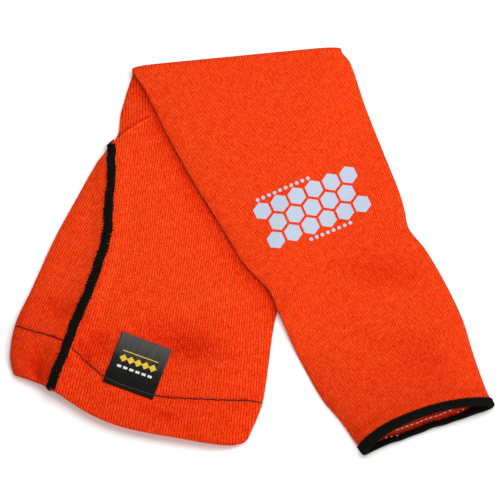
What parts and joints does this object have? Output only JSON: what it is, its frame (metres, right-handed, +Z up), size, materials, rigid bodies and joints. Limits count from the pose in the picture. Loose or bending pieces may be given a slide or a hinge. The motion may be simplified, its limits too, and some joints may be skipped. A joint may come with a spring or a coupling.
{
  "type": "cut resistant sleeve",
  "caption": "Knitted tubular arm sleeve laid flat and folded across its middle, with a gusset sewn in at the upper arm, a bound wrist edge and a turned-up hem with a sewn label.",
  "frame": {"origin": "middle of the surface that the folded sleeve lies on, under the centre of its bounding box", "axes": "+Z up out of that surface, +Y towards the fold, +X to the right when looking along +Y"},
  "size_m": [0.271, 0.2316, 0.0182],
  "materials": {
    "knit": "matt heathered orange knit",
    "thread": "black overlock thread",
    "label": "black satin"
  },
  "bodies": {
    "root": {"knit_sleeve": "knit", "gusset": "knit", "gusset_seam_upper": "thread", "gusset_seam_lower": "thread", "wrist_binding": "thread", "hem_label": "label"}
  },
  "joints": []
}
